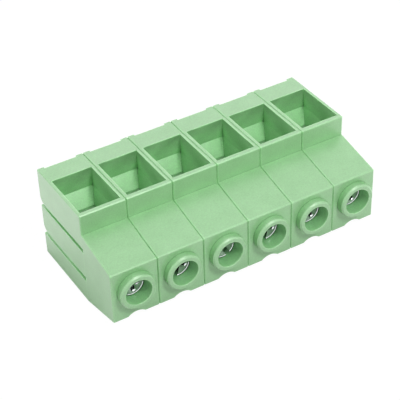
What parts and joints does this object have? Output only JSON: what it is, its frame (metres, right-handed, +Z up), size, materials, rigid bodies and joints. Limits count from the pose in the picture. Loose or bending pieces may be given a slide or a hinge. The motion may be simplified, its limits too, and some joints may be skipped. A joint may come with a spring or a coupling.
{
  "type": "board terminal block",
  "caption": "Board-mount screw terminal block of interlocking modules with square wire funnels, round screw collars, rising clamp sleeves and solder pins, lying on its back.",
  "frame": {"origin": "bottom centre of the bounding box, on the table under the middle of the row", "axes": "+X along the row, +Y towards the board side and the pins, +Z up towards the wire funnels; the screws are reached from -Y"},
  "size_m": [0.0908, 0.0504, 0.031],
  "materials": {
    "housing": "finely textured",
    "screw": "zinc plated",
    "sleeve": "zinc plated",
    "bar": "tinned"
  },
  "bodies": {
    "row": {"housing_1": "housing", "housing_2": "housing", "housing_3": "housing", "housing_4": "housing", "housing_5": "housing", "housing_6": "housing", "bar_1": "bar", "bar_2": "bar", "bar_3": "bar", "bar_4": "bar", "bar_5": "bar", "bar_6": "bar"},
    "screw_1": {"screw_1": "screw"},
    "sleeve_1": {"sleeve_1": "sleeve"},
    "screw_2": {"screw_2": "screw"},
    "sleeve_2": {"sleeve_2": "sleeve"},
    "screw_3": {"screw_3": "screw"},
    "sleeve_3": {"sleeve_3": "sleeve"},
    "screw_4": {"screw_4": "screw"},
    "sleeve_4": {"sleeve_4": "sleeve"},
    "screw_5": {"screw_5": "screw"},
    "sleeve_5": {"sleeve_5": "sleeve"},
    "screw_6": {"screw_6": "screw"},
    "sleeve_6": {"sleeve_6": "sleeve"}
  },
  "joints": [
    {"name": "screw_turn_1", "type": "hinge", "parent": "row", "child": "screw_1", "pos_m": [-0.038, -0.0168, 0.0135], "axis": [0, 1, 0], "range_deg": [0, 2700]},
    {"name": "sleeve_rise_1", "type": "slide", "parent": "row", "child": "sleeve_1", "axis": [0, -1, 0], "range_m": [0, 0.0075]},
    {"name": "screw_turn_2", "type": "hinge", "parent": "row", "child": "screw_2", "pos_m": [-0.023, -0.0168, 0.0135], "axis": [0, 1, 0], "range_deg": [0, 2700]},
    {"name": "sleeve_rise_2", "type": "slide", "parent": "row", "child": "sleeve_2", "axis": [0, -1, 0], "range_m": [0, 0.0075]},
    {"name": "screw_turn_3", "type": "hinge", "parent": "row", "child": "screw_3", "pos_m": [-0.008, -0.0168, 0.0135], "axis": [0, 1, 0], "range_deg": [0, 2700]},
    {"name": "sleeve_rise_3", "type": "slide", "parent": "row", "child": "sleeve_3", "axis": [0, -1, 0], "range_m": [0, 0.0075]},
    {"name": "screw_turn_4", "type": "hinge", "parent": "row", "child": "screw_4", "pos_m": [0.007, -0.0168, 0.0135], "axis": [0, 1, 0], "range_deg": [0, 2700]},
    {"name": "sleeve_rise_4", "type": "slide", "parent": "row", "child": "sleeve_4", "axis": [0, -1, 0], "range_m": [0, 0.0075]},
    {"name": "screw_turn_5", "type": "hinge", "parent": "row", "child": "screw_5", "pos_m": [0.022, -0.0168, 0.0135], "axis": [0, 1, 0], "range_deg": [0, 2700]},
    {"name": "sleeve_rise_5", "type": "slide", "parent": "row", "child": "sleeve_5", "axis": [0, -1, 0], "range_m": [0, 0.0075]},
    {"name": "screw_turn_6", "type": "hinge", "parent": "row", "child": "screw_6", "pos_m": [0.037, -0.0168, 0.0135], "axis": [0, 1, 0], "range_deg": [0, 2700]},
    {"name": "sleeve_rise_6", "type": "slide", "parent": "row", "child": "sleeve_6", "axis": [0, -1, 0], "range_m": [0, 0.0075]}
  ],
  "couplings": [
    {"joint": "screw_turn_1", "follows": "sleeve_rise_1", "rad_per_m": 6283.2},
    {"joint": "screw_turn_2", "follows": "sleeve_rise_2", "rad_per_m": 6283.2},
    {"joint": "screw_turn_3", "follows": "sleeve_rise_3", "rad_per_m": 6283.2},
    {"joint": "screw_turn_4", "follows": "sleeve_rise_4", "rad_per_m": 6283.2},
    {"joint": "screw_turn_5", "follows": "sleeve_rise_5", "rad_per_m": 6283.2},
    {"joint": "screw_turn_6", "follows": "sleeve_rise_6", "rad_per_m": 6283.2}
  ]
}
